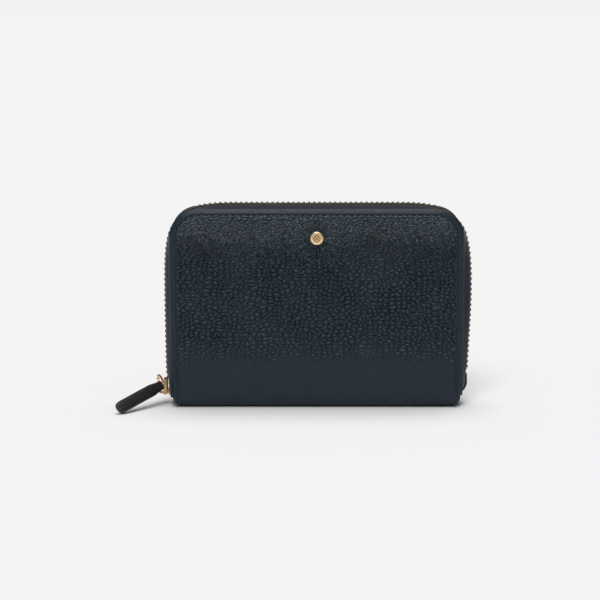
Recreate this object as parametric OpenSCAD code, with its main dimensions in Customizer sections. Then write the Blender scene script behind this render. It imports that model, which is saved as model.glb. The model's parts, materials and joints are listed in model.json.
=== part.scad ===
// Zip-around card holder that stands on its spine.
// Frame: +X to the right, the front cover faces -Y, +Z up. The origin is the
// middle of the spine's flat underside. All sizes are in millimetres.

/* [Case] */
// Half the width of a cover panel
half_w = 54.6; // [52:0.2:60]
// Height of a cover panel's top edge
case_h = 74.2; // [70:0.2:84]
// Thickness over the two covers
case_t = 19; // [18:0.5:24]
// Radius of a panel's two top corners
corner_r = 10.5; // [8:0.5:14]
// Outer radius of the fold between a cover and the spine
fold_r = 4.5; // [3.8:0.1:5]

/* [Layers] */
// Thickness of the outer leather
leather_t = 1.2; // [0.9:0.1:1.3]
// Thickness of the foam under the leather
foam_t = 0.8; // [0.5:0.1:1]
// Thickness of the stiffening board
board_t = 0.8; // [0.5:0.1:1]
// Thickness of the lining, and of the zip tape where it is glued in
lining_t = 0.4; // [0.3:0.05:0.5]
// Thickness of one pocket leaf
leaf_t = 0.5; // [0.3:0.05:0.55]

/* [Pockets] */
// Width of a card pocket, for an 85.6 mm card
pocket_w = 91; // [89:0.5:96]
// Height of the top edge of the rearmost card slot
slot_top = 60; // [56:1:64]
// Step down from one card slot to the next
slot_step = 6; // [4:0.5:8]

/* [Zip] */
// How far the teeth stand out past the cover panels
zip_out = 2; // [1.6:0.1:2.6]
// Distance between two teeth on one tape
tooth_pitch = 1.95; // [1.8:0.05:2.4]
// Size of a tooth across the tape
tooth_t = 1.9; // [1.6:0.1:2.1]
// Height of the slider's middle
slider_z = 7.2; // [7:0.1:9]
// Length of the slider
slider_len = 6.6; // [6:0.1:7]

/* [Pull] */
// Radius of the pull ring, to the middle of its wire
ring_r = 2.6; // [2.4:0.1:3]
// Diameter of the ring's wire
wire_d = 0.8; // [0.7:0.05:0.85]
// Length of the leather tab from the ring to its tip
tab_len = 25; // [20:0.5:30]
// Width of the leather tab
tab_w = 4.6; // [4:0.1:5]
// Thickness of the leather tab
tab_t = 1.8; // [1.4:0.1:2]

/* [Stud] */
// Radius of the stud's head
stud_r = 2.55; // [2:0.05:3.5]
// Height of the stud's middle
stud_z = 63.7; // [60:0.1:66]

/* [Hidden] */
$fn = 48;

navy = [0.11, 0.15, 0.18];
dark = [0.13, 0.13, 0.15];
cloth = [0.10, 0.12, 0.17];
gold = [0.80, 0.62, 0.38];
steel = [0.75, 0.72, 0.66];

// Where each layer of the front half lies. The back half is its mirror image.
face_y = -case_t / 2;
foam_y = face_y + leather_t;
board_y = foam_y + foam_t;
glue_y = board_y + board_t;
lining_y = glue_y + lining_t;
slip_y = lining_y + lining_t;
slots_y = slip_y + leaf_t;
flat_y = case_t / 2 - fold_r;
layer_z = fold_r + 0.7;
hem = 1.2;

// The chain runs round the panels' outline. Lengths along it start at its left foot.
tape_n = zip_out - tooth_t / 2;
tape_t = 0.5;
tape_edge = 0.9;
tape_foot = 2.4;
end_z = 12;
stop_half = 2.4;
tail_half = 2;
chain_z = slider_z + slider_len / 2 + 0.7;
left_run = case_h - corner_r - chain_z;
bend_run = (corner_r + tape_n) * PI / 2;
top_run = 2 * (half_w - corner_r);
right_run = case_h - corner_r - end_z;
chain_run = left_run + 2 * bend_run + top_run + right_run;
teeth = floor(chain_run / tooth_pitch);
pitch = chain_run / teeth;
tooth_len = pitch / 2 - 0.12;
tooth_root = 2.1;
tooth_head = 0.65;

// The slider's channel, and the bridge that holds the ring.
wing = 0.6;
slider_half = 3.1;
flange = 0.7;
wing_out = zip_out + 0.1;
wing_in = zip_out - tooth_t - 0.1;
slot_gap = 0.2;
bridge_w = 1;
bridge_hole = 1.3;
ring_lean = 18;
ring_turn = 10;
hole_z = 5.6;
hole_x = -half_w - wing_out - wing - bridge_hole / 2;
tab_on_ring = -155;
tab_yaw = -126;
tab_dip = 11.6;
tab_roll = -52;
ring_gap = 0.2;

// A panel's flat outline: square feet, round top corners, set in from the edge all round.
module outline(inset, foot, top = case_h) {
    w = half_w - inset;
    h = top - inset;
    r = corner_r - inset;
    translate([-w, foot]) square([2 * w, h - r - foot]);
    translate([-w + r, foot]) square([2 * (w - r), h - foot]);
    for (side = [-1, 1]) translate([side * (w - r), h - r]) circle(r);
}

// A flat layer of the front half, from depth y and t thick.
module layer(y, t, inset, foot) {
    translate([0, y + t, 0]) rotate([90, 0, 0]) linear_extrude(t) outline(inset, foot);
}

// A pocket leaf of the front half with a straight mouth.
module leaf(y, w, foot, top) {
    translate([-w / 2, y, foot]) cube([w, leaf_t, top - foot]);
}

// Puts a shape on the chain, length s along it. The shape's +X points out of the case and
// its +Z along the chain.
module on_chain(s) {
    side_x = half_w - corner_r;
    top_z = case_h - corner_r;
    a = s - left_run;
    b = a - bend_run;
    c = b - top_run;
    d = c - bend_run;
    at = a < 0 ? [-side_x, 0, top_z + a]
       : b < 0 ? [-side_x, 0, top_z]
       : c < 0 ? [-side_x + b, 0, top_z]
       : d < 0 ? [side_x, 0, top_z]
       : [side_x, 0, top_z - d];
    turn = a < 0 ? 0 : b < 0 ? 90 * a / bend_run : c < 0 ? 90 : d < 0 ? 90 + 90 * c / bend_run : 180;
    translate(at) rotate([0, turn, 0]) mirror([1, 0, 0]) translate([corner_r, 0, 0]) children();
}

// Sweeps the children, a 2D shape of (distance out of the outline, depth y), round the left
// side, the top and the right side.
module sweep(left_foot, right_foot) {
    side_x = half_w - corner_r;
    top_z = case_h - corner_r;
    translate([-half_w, 0, left_foot]) mirror([1, 0, 0])
        linear_extrude(top_z - left_foot) children();
    translate([half_w, 0, right_foot]) linear_extrude(top_z - right_foot) children();
    translate([-side_x, 0, case_h]) rotate([0, 90, 0]) mirror([1, 0, 0])
        linear_extrude(2 * side_x) children();
    for (side = [0, 1]) mirror([side, 0, 0]) translate([side_x, 0, top_z])
        mirror([0, 1, 0]) rotate([90, 0, 0]) rotate_extrude(angle = 90)
            translate([corner_r, 0]) children();
}

module stud_hole(y, t) {
    translate([0, y + t + 1, stud_z]) rotate([90, 0, 0]) cylinder(h = t + 2, r = 0.95);
}

// ---- spine ----
module spine_leather() {
    color(navy) translate([-half_w, -flat_y, 0]) cube([2 * half_w, 2 * flat_y, leather_t]);
}

module spine_board() {
    color("tan") translate([-half_w + 2, -flat_y + 0.4, leather_t])
        cube([2 * half_w - 4, 2 * flat_y - 0.8, board_t]);
}

module spine_lining() {
    color(cloth) translate([-half_w + 3.6, -flat_y + 0.1, leather_t + board_t])
        cube([2 * half_w - 7.2, 2 * flat_y - 0.2, lining_t]);
}

// The quarter-round leather between a cover and the spine.
module fold_leather() {
    color(navy) translate([-half_w, -flat_y, fold_r]) rotate([90, 0, 90])
        linear_extrude(2 * half_w) intersection() {
            difference() {
                circle(fold_r);
                circle(fold_r - leather_t);
            }
            translate([-fold_r, -fold_r]) square(fold_r);
        }
}

// The lining's slack across the fold.
module fold_lining() {
    z = leather_t + board_t;
    color(cloth) translate([-half_w + 4.6, 0, 0]) rotate([90, 0, 90])
        linear_extrude(2 * half_w - 9.2) polygon([
            [-flat_y + 0.1, z], [-flat_y + 0.1, z + lining_t],
            [slip_y, layer_z], [lining_y, layer_z]]);
}

// ---- one half, drawn as the front half ----
module cover_leather(stud) {
    color(navy) difference() {
        union() {
            layer(face_y, leather_t, 0, fold_r);
            difference() {
                layer(foam_y, foam_t + board_t, 0, layer_z);
                layer(foam_y - 1, foam_t + board_t + 2, hem, 0);
            }
        }
        if (stud) stud_hole(face_y, leather_t);
    }
}

module foam(stud) {
    color("dimgray") difference() {
        layer(foam_y, foam_t, hem, layer_z);
        if (stud) stud_hole(foam_y, foam_t);
    }
}

module board(stud) {
    color("tan") difference() {
        layer(board_y, board_t, hem, layer_z);
        if (stud) stud_hole(board_y, board_t);
    }
}

module lining() {
    color(cloth) layer(lining_y, lining_t, 0.8, layer_z);
}

module slip_pocket() {
    color(dark) leaf(slip_y, pocket_w + 8, layer_z + 0.8, slot_top + 6);
}

// Slot 1 is the rearmost and highest.
module card_slot(k) {
    color(navy) leaf(slots_y + (k - 1) * leaf_t, pocket_w, layer_z + 1.6, slot_top - (k - 1) * slot_step);
}

// Short stitches in a line set in from the panel's edge.
module stitching() {
    stitch_pitch = 2.55;
    stitch = [0.5, 0.2, 1.8];
    inset = 2;
    foot = fold_r + 2 - chain_z;
    run = chain_run + end_z - fold_r - 2 - foot;
    count = floor(run / stitch_pitch);
    color(dark) for (i = [0 : count - 1])
        on_chain(foot + (i + 0.5) * run / count)
            translate([-inset - stitch.x / 2, face_y - stitch.y, -stitch.z / 2]) cube(stitch);
}

// The tape's cross-section, from where it is glued in to its free edge.
module tape_section(edge) {
    n0 = tape_n - tape_t / 2;
    n1 = tape_n + tape_t / 2;
    polygon([[-4, glue_y], [0, glue_y], [n1, -4.5], [n1, -edge],
             [n0, -edge], [n0, -4.2], [-0.3, lining_y], [-4, lining_y]]);
}

// Below the chain's end the right side of the tape is cut back, clear of the bottom stop.
module zip_tape() {
    color(dark) {
        sweep(tape_foot, end_z) tape_section(tape_edge);
        translate([half_w, 0, tape_foot]) linear_extrude(end_z - tape_foot)
            tape_section(stop_half + 0.4);
    }
}

// One tooth of the front tape: it grips the tape's edge and its head crosses the middle.
module tooth() {
    difference() {
        translate([zip_out - tooth_t, -tooth_root, -tooth_len / 2])
            cube([tooth_t, tooth_root + tooth_head, tooth_len]);
        translate([tape_n - tape_t / 2, -tooth_root - 1, -tooth_len])
            cube([tape_t, tooth_root - tape_edge + 1, 2 * tooth_len]);
    }
}

// Teeth whose place along the chain lies between two lengths. The back tape's are half a
// pitch further on.
module teeth_run(from, to, shift) {
    color(steel) for (i = [0 : teeth - 1]) {
        s = (i + 0.25 + shift) * pitch;
        if (s >= from && s < to) on_chain(s) tooth();
    }
}

// The stop that ends the slider's travel at the chain's closed end.
module top_stop() {
    color(gold) translate([-half_w, 0, 0]) mirror([1, 0, 0]) difference() {
        translate([zip_out - tooth_t, -2, tape_foot]) cube([tooth_t, 1.6, 1.2]);
        translate([tape_n - tape_t / 2, -3, 0]) cube([tape_t, 3 - tape_edge, 10]);
    }
}

// ---- the zip's foot, on the spine ----
module zip_end_tab() {
    n0 = half_w + tape_n - 0.3;
    n1 = half_w + tape_n + 0.4;
    foot = half_w - 2.5;
    top = end_z - 0.5;
    base = leather_t + board_t + lining_t;
    color(dark) rotate([90, 0, 0]) translate([0, 0, -tail_half]) linear_extrude(2 * tail_half)
        polygon([[n0, top], [n1, top], [n1, top - 4], [half_w, base], [foot, base],
                 [foot, base + 0.8], [half_w - 0.5, base + 0.8], [n0, top - 3.8]]);
}

module zip_bottom_stop() {
    n0 = half_w + tape_n - 0.3;
    n1 = half_w + tape_n + 0.4;
    color(gold) translate([0, 0, end_z - 2.6]) difference() {
        translate([n0 - 0.5, -stop_half, 0]) cube([n1 - n0 + 1, 2 * stop_half, 1.6]);
        translate([n0, -tail_half, -1]) cube([n1 - n0, 2 * tail_half, 4]);
    }
}

// ---- stud ----
module stud_head() {
    rise = 1.1;
    ball = (stud_r * stud_r + rise * rise) / (2 * rise);
    color(gold) translate([0, face_y, stud_z]) rotate([90, 0, 0]) intersection() {
        translate([0, 0, rise - ball]) sphere(ball, $fn = 64);
        cylinder(h = rise + 1, r = stud_r + 1);
    }
}

module stud_post() {
    color(gold) translate([0, glue_y, stud_z]) rotate([90, 0, 0])
        cylinder(h = glue_y - face_y, r = 0.9);
}

module stud_washer() {
    color(gold) translate([0, lining_y, stud_z]) rotate([90, 0, 0]) cylinder(h = lining_t, r = 2.2);
}

// ---- slider, ring and tab ----
// The slider's frame: the panel's left edge, with +X out of the case.
module at_slider() {
    translate([-half_w, 0, slider_z]) mirror([1, 0, 0]) children();
}

module zip_slider() {
    half = slider_len / 2;
    lip_in = tape_n - tape_t / 2 - slot_gap;
    lip_out = tape_n + tape_t / 2 + slot_gap;
    color(gold) at_slider() {
        translate([wing_out, -slider_half, -half]) cube([wing, 2 * slider_half, slider_len]);
        translate([wing_in - wing, -slider_half, -half]) cube([wing, 2 * slider_half, slider_len]);
        for (side = [-1, 1]) mirror([0, side > 0 ? 1 : 0, 0]) {
            translate([lip_out, -slider_half, -half])
                cube([wing_out - lip_out, flange, slider_len]);
            translate([wing_in, -slider_half, -half])
                cube([lip_in - wing_in, flange, slider_len]);
        }
        translate([wing_in, -0.65, -half]) cube([wing_out - wing_in, 1.3, 2.4]);
    }
}

// An arch along the slider's outer wing. The ring passes under it.
module slider_bridge() {
    leg = 0.7;
    span = 4.6;
    low = hole_z - slider_z - 1.8;
    color(gold) at_slider() translate([wing_out + wing, -bridge_w / 2, low]) difference() {
        cube([bridge_hole + leg, bridge_w, span]);
        translate([-1, -1, leg]) cube([bridge_hole + 1, bridge_w + 2, span - 2 * leg]);
    }
}

// The ring's frame: its middle, with the ring in the XY plane and the bridge at -Y.
module at_ring() {
    translate([hole_x, 0, hole_z]) rotate([0, 0, -ring_turn]) rotate([0, -ring_lean, 0])
        rotate([90, 0, 90]) translate([0, ring_r, 0]) children();
}

module ring(r) {
    rotate_extrude($fn = 64) translate([ring_r, 0]) circle(r, $fn = 24);
}

module pull_ring() {
    color(gold) at_ring() ring(wire_d / 2);
}

// A folded strap with a narrow loop round the ring.
module pull_tab() {
    neck_w = 1.5;
    loop_r = 1.1;
    start = 3;
    color(dark) difference() {
        union() {
            at_ring() rotate([0, 0, tab_on_ring]) translate([ring_r, 0, 0])
                rotate([90, 0, 0]) cylinder(h = neck_w, r = loop_r, center = true);
            at_tab() {
                translate([0, -neck_w / 2, -tab_t / 2]) cube([start + 1, neck_w, tab_t]);
                translate([0, 0, -tab_t / 2]) linear_extrude(tab_t) {
                    translate([start, -tab_w / 2]) square([tab_len - tab_w / 2 - start, tab_w]);
                    translate([tab_len - tab_w / 2, 0]) circle(tab_w / 2);
                }
            }
        }
        at_ring() ring(wire_d / 2 + ring_gap);
    }
}

// The tab's frame: the point where it holds the ring, with +X towards its tip.
module at_tab() {
    up = [-sin(ring_lean) * cos(ring_turn), sin(ring_lean) * sin(ring_turn), cos(ring_lean)];
    back = [sin(ring_turn), cos(ring_turn), 0];
    hold = [hole_x, 0, hole_z] + ring_r * (up + cos(tab_on_ring) * back + sin(tab_on_ring) * up);
    translate(hold) rotate([tab_roll, tab_dip, tab_yaw]) children();
}

spine_leather();
spine_board();
spine_lining();
fold_leather();  // front_fold_leather
mirror([0, 1, 0]) fold_leather();  // back_fold_leather
fold_lining();  // front_fold_lining
mirror([0, 1, 0]) fold_lining();  // back_fold_lining
cover_leather(true);  // front_cover_leather
mirror([0, 1, 0]) cover_leather(false);  // back_cover_leather
foam(true);  // front_foam
mirror([0, 1, 0]) foam(false);  // back_foam
board(true);  // front_board
mirror([0, 1, 0]) board(false);  // back_board
lining();  // front_lining
mirror([0, 1, 0]) lining();  // back_lining
slip_pocket();  // front_slip_pocket
mirror([0, 1, 0]) slip_pocket();  // back_slip_pocket
card_slot(1);  // front_card_slot_1
card_slot(2);  // front_card_slot_2
card_slot(3);  // front_card_slot_3
card_slot(4);  // front_card_slot_4
mirror([0, 1, 0]) card_slot(1);  // back_card_slot_1
mirror([0, 1, 0]) card_slot(2);  // back_card_slot_2
mirror([0, 1, 0]) card_slot(3);  // back_card_slot_3
mirror([0, 1, 0]) card_slot(4);  // back_card_slot_4
stitching();  // front_stitching
mirror([0, 1, 0]) stitching();  // back_stitching
zip_tape();  // front_zip_tape
mirror([0, 1, 0]) zip_tape();  // back_zip_tape
teeth_run(0, left_run, 0);  // front_teeth_left
teeth_run(left_run, left_run + 2 * bend_run + top_run, 0);  // front_teeth_top
teeth_run(left_run + 2 * bend_run + top_run, chain_run, 0);  // front_teeth_right
mirror([0, 1, 0]) teeth_run(0, left_run, 0.5);  // back_teeth_left
mirror([0, 1, 0]) teeth_run(left_run, left_run + 2 * bend_run + top_run, 0.5);  // back_teeth_top
mirror([0, 1, 0]) teeth_run(left_run + 2 * bend_run + top_run, chain_run, 0.5);  // back_teeth_right
top_stop();  // front_top_stop
mirror([0, 1, 0]) top_stop();  // back_top_stop
zip_end_tab();
zip_bottom_stop();
stud_head();
stud_post();
stud_washer();
zip_slider();
slider_bridge();
pull_ring();
pull_tab();
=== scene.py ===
import json
import math

import bmesh
import bpy
import numpy as np
from mathutils import Euler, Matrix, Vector


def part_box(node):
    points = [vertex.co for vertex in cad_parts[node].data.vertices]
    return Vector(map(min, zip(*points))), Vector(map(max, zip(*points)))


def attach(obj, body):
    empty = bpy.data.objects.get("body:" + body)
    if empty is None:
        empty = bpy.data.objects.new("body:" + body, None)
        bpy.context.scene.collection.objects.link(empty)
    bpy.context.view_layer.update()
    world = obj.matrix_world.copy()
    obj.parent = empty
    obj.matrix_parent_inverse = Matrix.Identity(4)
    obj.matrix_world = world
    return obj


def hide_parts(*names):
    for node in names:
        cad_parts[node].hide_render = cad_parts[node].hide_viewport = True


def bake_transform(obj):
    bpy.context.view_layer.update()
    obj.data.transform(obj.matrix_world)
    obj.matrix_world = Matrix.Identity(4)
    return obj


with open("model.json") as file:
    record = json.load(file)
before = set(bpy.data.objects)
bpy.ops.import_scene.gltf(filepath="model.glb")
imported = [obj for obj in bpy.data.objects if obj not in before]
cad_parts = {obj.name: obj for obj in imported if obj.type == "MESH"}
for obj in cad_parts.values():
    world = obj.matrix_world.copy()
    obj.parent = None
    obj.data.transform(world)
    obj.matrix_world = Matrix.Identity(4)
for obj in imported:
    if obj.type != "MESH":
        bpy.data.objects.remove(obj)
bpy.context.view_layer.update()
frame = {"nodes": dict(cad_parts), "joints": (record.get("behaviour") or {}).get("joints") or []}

MM = 0.001


def box_mm(node):
    lo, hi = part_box(node)
    return np.array(lo) / MM, np.array(hi) / MM


def joint(name):
    return next(j for j in frame["joints"] if j["name"] == name)


# ---- driving sizes, from the frame where it holds them ----
COVER_LO, COVER_HI = box_mm("front_cover_leather")
HALF_W, TOP, FOLD_R, DEPTH = COVER_HI[0], COVER_HI[2], COVER_LO[2], -COVER_LO[1]
CORNER_R = 10.5
FLAT = DEPTH - FOLD_R                            # half the spine's flat width
FOLD_LEN = FOLD_R * math.pi / 2
TEETH_LO, TEETH_HI = box_mm("front_teeth_left")
TOOTH_T = TEETH_HI[0] - TEETH_LO[0]
TAPE_N = -TEETH_LO[0] - TOOTH_T / 2 - HALF_W     # the tape's edge, outside the panel's outline
CHAIN_FOOT = TEETH_LO[2] - 1.4                   # the visual slider is shorter, so the teeth start lower
CHAIN_END = box_mm("front_teeth_right")[0][2]
TAPE_FOOT = box_mm("front_zip_tape")[0][2]
STUD_LO, STUD_HI = box_mm("stud_head")
STUD = (STUD_LO + STUD_HI) / 2
STUD_R = (STUD_HI[0] - STUD_LO[0]) / 2
LINING_Y = box_mm("front_lining")[0][1]
LINING_T = box_mm("front_lining")[1][1] - LINING_Y
SLIDER_LO, SLIDER_HI = box_mm("zip_slider")

RIM = 0.8              # radius of the rolled edge of a cover
HEM_DEPTH = 1.15       # thickness of a cover at its turned edge
EDGE_Y = 7.7           # half thickness at the zip side of the covers
CROWN = 3.1            # how far the padding lifts the middle
SHOULDER = 1.1         # part of that lift that comes within a few millimetres of the upper edge
FOOT_TUCK = 2.4        # how far the fold's ends draw in towards the floor
STITCH_IN = 1.2        # stitch line, inside the rolled edge
STITCH_PITCH = 2.55
PEBBLE_W, PEBBLE_H = 2.05, 1.5         # a pebble of the grain
INNER_ROWS, INNER_COLS = 11, 14        # the flesh side uses every so many rows and columns of the grain side
BOARD_OUT = 7.05       # outer face of a half's stiffening board
BOARD_T = 0.6
BOARD_IN = 2.7         # how far a board is set in from the panel's outline
FOAM_IN = 2.4          # the same for a foam pad
LINING_IN = 0.8        # the same for a lining
LINING_FOOT = 6.5      # where the lining meets the panel above the fold
LEFT_BOW = 0.35        # how far the zip stands out from the cover's sides
RIGHT_BOW = 1.45
TAPE_T = 0.42
TAPE_GLUED = 6.2       # the tape lies flat under the cover beyond this depth
TOOTH_PITCH = 1.95
TOOTH_ROOT, TOOTH_HEAD, TOOTH_HALF = -2.1, 0.65, 0.42
WIRE_R = 0.45          # radius of the pull ring's wire
TAB_LEN, TAB_W, TAB_T = 25.0, 4.6, 1.8
TAB_TURN = Euler((math.radians(-52), math.radians(11.6), math.radians(-126)), "XYZ").to_matrix()
GLOSS = 0.42           # specular level of plain leather
PAINTED_HIGHLIGHT_COLOUR = (0.120, 0.146, 0.158, 1)        # colour of the painted highlights along the pebbles' creases and lit upper rims
BACKDROP = 0.887       # the pale backdrop, linear


# ---- small maths helpers ----
def smooth(a, b, v):
    t = np.clip((np.asarray(v, float) - a) / (b - a), 0, 1)
    return t * t * (3 - 2 * t)


def bell(v, width):
    return np.exp(-(np.asarray(v, float) / width) ** 2)


def bulge(c, power):
    """A cosine or sine drawn towards its ends, which makes an ellipse boxy."""
    return math.copysign(abs(c) ** power, c)


def lengths_along(points):
    """The length along a chain of 2-D points, up to each of them."""
    return np.concatenate([[0], np.cumsum(np.hypot(*np.diff(points, axis=0).T))])


def unit(x, z):
    size = math.hypot(x, z)
    return x / size, z / size


def hash01(i, j, seed):
    """A repeatable number from 0 to 1 for each pair of whole numbers."""
    n = (i * 374761393 + j * 668265263 + seed * 974634777) & 0xFFFFFFFF
    n = ((n ^ (n >> 13)) * 1274126177) & 0xFFFFFFFF
    n = ((n ^ (n >> 16)) * 2246822519) & 0xFFFFFFFF
    return ((n ^ (n >> 15)) & 0xFFFFFF) / float(0x1000000)


def value_noise(u, v, seed):
    """Smooth noise from -1 to 1 with features about one unit wide."""
    i, j = np.floor(u).astype(np.int64), np.floor(v).astype(np.int64)
    a, b = u - i, v - j
    a, b = a * a * (3 - 2 * a), b * b * (3 - 2 * b)
    low = hash01(i, j, seed) * (1 - a) + hash01(i + 1, j, seed) * a
    high = hash01(i, j + 1, seed) * (1 - a) + hash01(i + 1, j + 1, seed) * a
    return 2 * (low * (1 - b) + high * b) - 1


def pebbles(u, v, seed):
    """Cell noise: how far each point is inside its pebble, 0 in a crease, and a number per pebble."""
    i0, j0 = np.floor(u).astype(np.int64), np.floor(v).astype(np.int64)
    best = np.full(u.shape, 9.0)
    second = best.copy()
    own = np.zeros(u.shape)
    for di in (-1, 0, 1):
        for dj in (-1, 0, 1):
            i, j = i0 + di, j0 + dj
            cu = i + 0.12 + 0.76 * hash01(i, j, seed)
            cv = j + 0.12 + 0.76 * hash01(i, j, seed + 7)
            d = np.hypot(u - cu, v - cv)
            closer = d < best
            second = np.where(closer, best, np.minimum(second, d))
            own = np.where(closer, hash01(i, j, seed + 13), own)
            best = np.where(closer, d, best)
    return second - best, own


# ---- mesh and material helpers ----
def new_object(name, verts_mm, faces, material, uv=None, shade_smooth=True):
    mesh = bpy.data.meshes.new(name)
    mesh.from_pydata((np.asarray(verts_mm, float) * MM).tolist(), [], faces)
    mesh.materials.append(material)
    mesh.polygons.foreach_set("use_smooth", [shade_smooth] * len(mesh.polygons))
    if uv is not None:
        layer = mesh.uv_layers.new(name="UVMap")
        index = np.zeros(len(mesh.loops), np.int32)
        mesh.loops.foreach_get("vertex_index", index)
        layer.data.foreach_set("uv", np.asarray(uv, np.float32)[index].ravel())
    obj = bpy.data.objects.new(name, mesh)
    bpy.context.scene.collection.objects.link(obj)
    fix_normals(obj)
    return obj


def set_painted_light_and_tone(obj, values):
    """Stores a number per vertex that a material reads as its attribute: painted highlight and painted shade
    on the leather, a darker pressed pattern on the stud.
    """
    grain = obj.data.attributes.new("grain", "FLOAT", "POINT")
    grain.data.foreach_set("value", np.asarray(values, np.float32))


def fix_normals(obj):
    bm = bmesh.new()
    bm.from_mesh(obj.data)
    bmesh.ops.recalc_face_normals(bm, faces=bm.faces)
    bm.to_mesh(obj.data)
    bm.free()


def apply_modifiers(obj):
    bpy.context.view_layer.update()
    graph = bpy.context.evaluated_depsgraph_get()
    mesh = bpy.data.meshes.new_from_object(obj.evaluated_get(graph))
    obj.modifiers.clear()
    obj.data = mesh


def rounded(obj, width_mm, segments=3, angle=35):
    """Bevels an object's sharp edges for good."""
    bevel = obj.modifiers.new("bevel", "BEVEL")
    bevel.width = width_mm * MM
    bevel.segments = segments
    bevel.limit_method = "ANGLE"
    bevel.angle_limit = math.radians(angle)
    apply_modifiers(obj)
    obj.data.polygons.foreach_set("use_smooth", [True] * len(obj.data.polygons))


def boundary(rows, cols):
    """A grid's border as (row, column): up the left side, along the top, down the right, back at the foot."""
    loop = [(r, 0) for r in range(rows)]
    loop += [(rows - 1, c) for c in range(1, cols)]
    loop += [(r, cols - 1) for r in range(rows - 2, -1, -1)]
    loop += [(0, c) for c in range(cols - 2, 0, -1)]
    return loop


def grid_faces(rows, cols, closed=False):
    faces = []
    for r in range(rows - 1):
        for c in range(cols if closed else cols - 1):
            d = (c + 1) % cols
            faces.append((r * cols + c, r * cols + d, (r + 1) * cols + d, (r + 1) * cols + c))
    return faces


def sheet_faces(rows, cols):
    """A closed two-sided sheet: a grid, the same grid turned over behind it, and the rim between them."""
    n = rows * cols
    front = grid_faces(rows, cols)
    back = [tuple(n + i for i in reversed(face)) for face in front]
    rim = [r * cols + c for r, c in reversed(boundary(rows, cols))]
    edge = [(i, j, n + j, n + i) for i, j in zip(rim, rim[1:] + rim[:1])]
    return front + back + edge


def tube_faces(rings, sides):
    """A swept closed section with both ends closed."""
    faces = grid_faces(rings, sides, closed=True)
    faces.append(tuple(range(sides)))
    faces.append(tuple(range((rings - 1) * sides, rings * sides)))
    return faces


def place(obj, body, slot, *nodes):
    if body:
        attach(obj, body)
    if nodes:
        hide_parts(*nodes)
    return obj


class Nodes:
    """A short way to write a node tree: m("Kind", socket=value or (node, output))."""

    def __init__(self, name):
        self.material = bpy.data.materials.new(name)
        self.material.use_nodes = True
        self.tree = self.material.node_tree
        self.tree.nodes.clear()

    def __call__(self, kind, settings=None, **sockets):
        node = self.tree.nodes.new("ShaderNode" + kind)
        for key, value in (settings or {}).items():
            setattr(node, key, value)
        for key, value in sockets.items():
            key = key.replace("_", " ")
            target = node.inputs[int(key[1:])] if key[0] == "i" and key[1:].isdigit() else node.inputs[key]
            if isinstance(value, tuple) and len(value) == 2 and hasattr(value[0], "outputs"):
                self.tree.links.new(value[0].outputs[value[1]], target)
            else:
                target.default_value = value
        return node

    def ramp(self, source, *stops):
        node = self("ValToRGB", Fac=source)
        elements = node.color_ramp.elements
        while len(elements) < len(stops):
            elements.new(0.5)
        for element, (at, colour) in zip(elements, stops):
            element.position = at
            element.color = (*colour, 1)
        return node

    def remap(self, source, from_range, to_range):
        node = self("MapRange", Value=source)
        for socket, value in zip(("From Min", "From Max", "To Min", "To Max"), (*from_range, *to_range)):
            node.inputs[socket].default_value = value
        return node

    def finish(self, **sockets):
        shader = self("BsdfPrincipled", **sockets)
        self("OutputMaterial", Surface=(shader, "BSDF"))
        return self.material


def scaled_coords(m, scale, output="Object"):
    coords = m("TexCoord")
    mapping = m("Mapping", Vector=(coords, output))
    mapping.inputs["Scale"].default_value = scale
    return mapping


# ---- materials ----
def leather_material(name, base, light, roughness, fine, paints_grain_light=False):
    """Leather. Where it is grained, its colour takes painted highlights along the pebbles' creases and its
    shine drops as painted shade in their pits, both following the pebbles that are in the mesh itself.
    """
    m = Nodes(name)
    at = scaled_coords(m, (1000, 1000, 1000))
    blotch = m("TexNoise", Vector=(at, "Vector"), Scale=0.09, Detail=3.0, Roughness=0.55)
    speck = m("TexNoise", Vector=(at, "Vector"), Scale=1.6, Detail=4.0, Roughness=0.6)
    tone = m.ramp((blotch, "Fac"), (0.30, base), (0.72, light))
    shade, shine = (tone, "Color"), GLOSS
    if paints_grain_light:
        grain = m("Attribute", {"attribute_name": "grain"})
        # Painted highlight: where the attribute is low, the colour is mixed towards a pale grey-blue along
        # the pebbles' creases and lit upper rims.
        painted_highlight = m.ramp((grain, "Fac"), (0.0, (0.9, 0.9, 0.9)), (0.25, (0.25, 0.25, 0.25)),
                      (0.45, (0.0, 0.0, 0.0)))
        # Painted shade: where the attribute is above 0.5, the specular level drops towards 0.06 in the
        # pebbles' shaded undersides.
        shine = (m.remap((grain, "Fac"), (0.5, 0.95), (GLOSS, 0.06)), "Result")
        shade = (m("Mix", {"data_type": "RGBA"}, i0=(painted_highlight, "Color"), i6=shade, i7=PAINTED_HIGHLIGHT_COLOUR), 2)
    rough = m.remap((speck, "Fac"), (0.3, 0.7), (roughness - 0.06, roughness + 0.08))
    crackle = m("TexVoronoi", {"feature": "DISTANCE_TO_EDGE"}, Vector=(at, "Vector"),
                Scale=fine, Randomness=1.0)
    line = m.ramp((crackle, "Distance"), (0.0, (0, 0, 0)), (0.16, (1, 1, 1)))
    pores = m("TexNoise", Vector=(at, "Vector"), Scale=5.5, Detail=3.0, Roughness=0.6)
    lines = m("Bump", Strength=0.4, Distance=0.00006, Height=(line, "Color"))
    surface = m("Bump", Strength=0.4, Distance=0.00005, Height=(pores, "Fac"), Normal=(lines, "Normal"))
    return m.finish(Base_Color=shade, Roughness=(rough, "Result"), Normal=(surface, "Normal"),
                    Specular_IOR_Level=shine)


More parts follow.
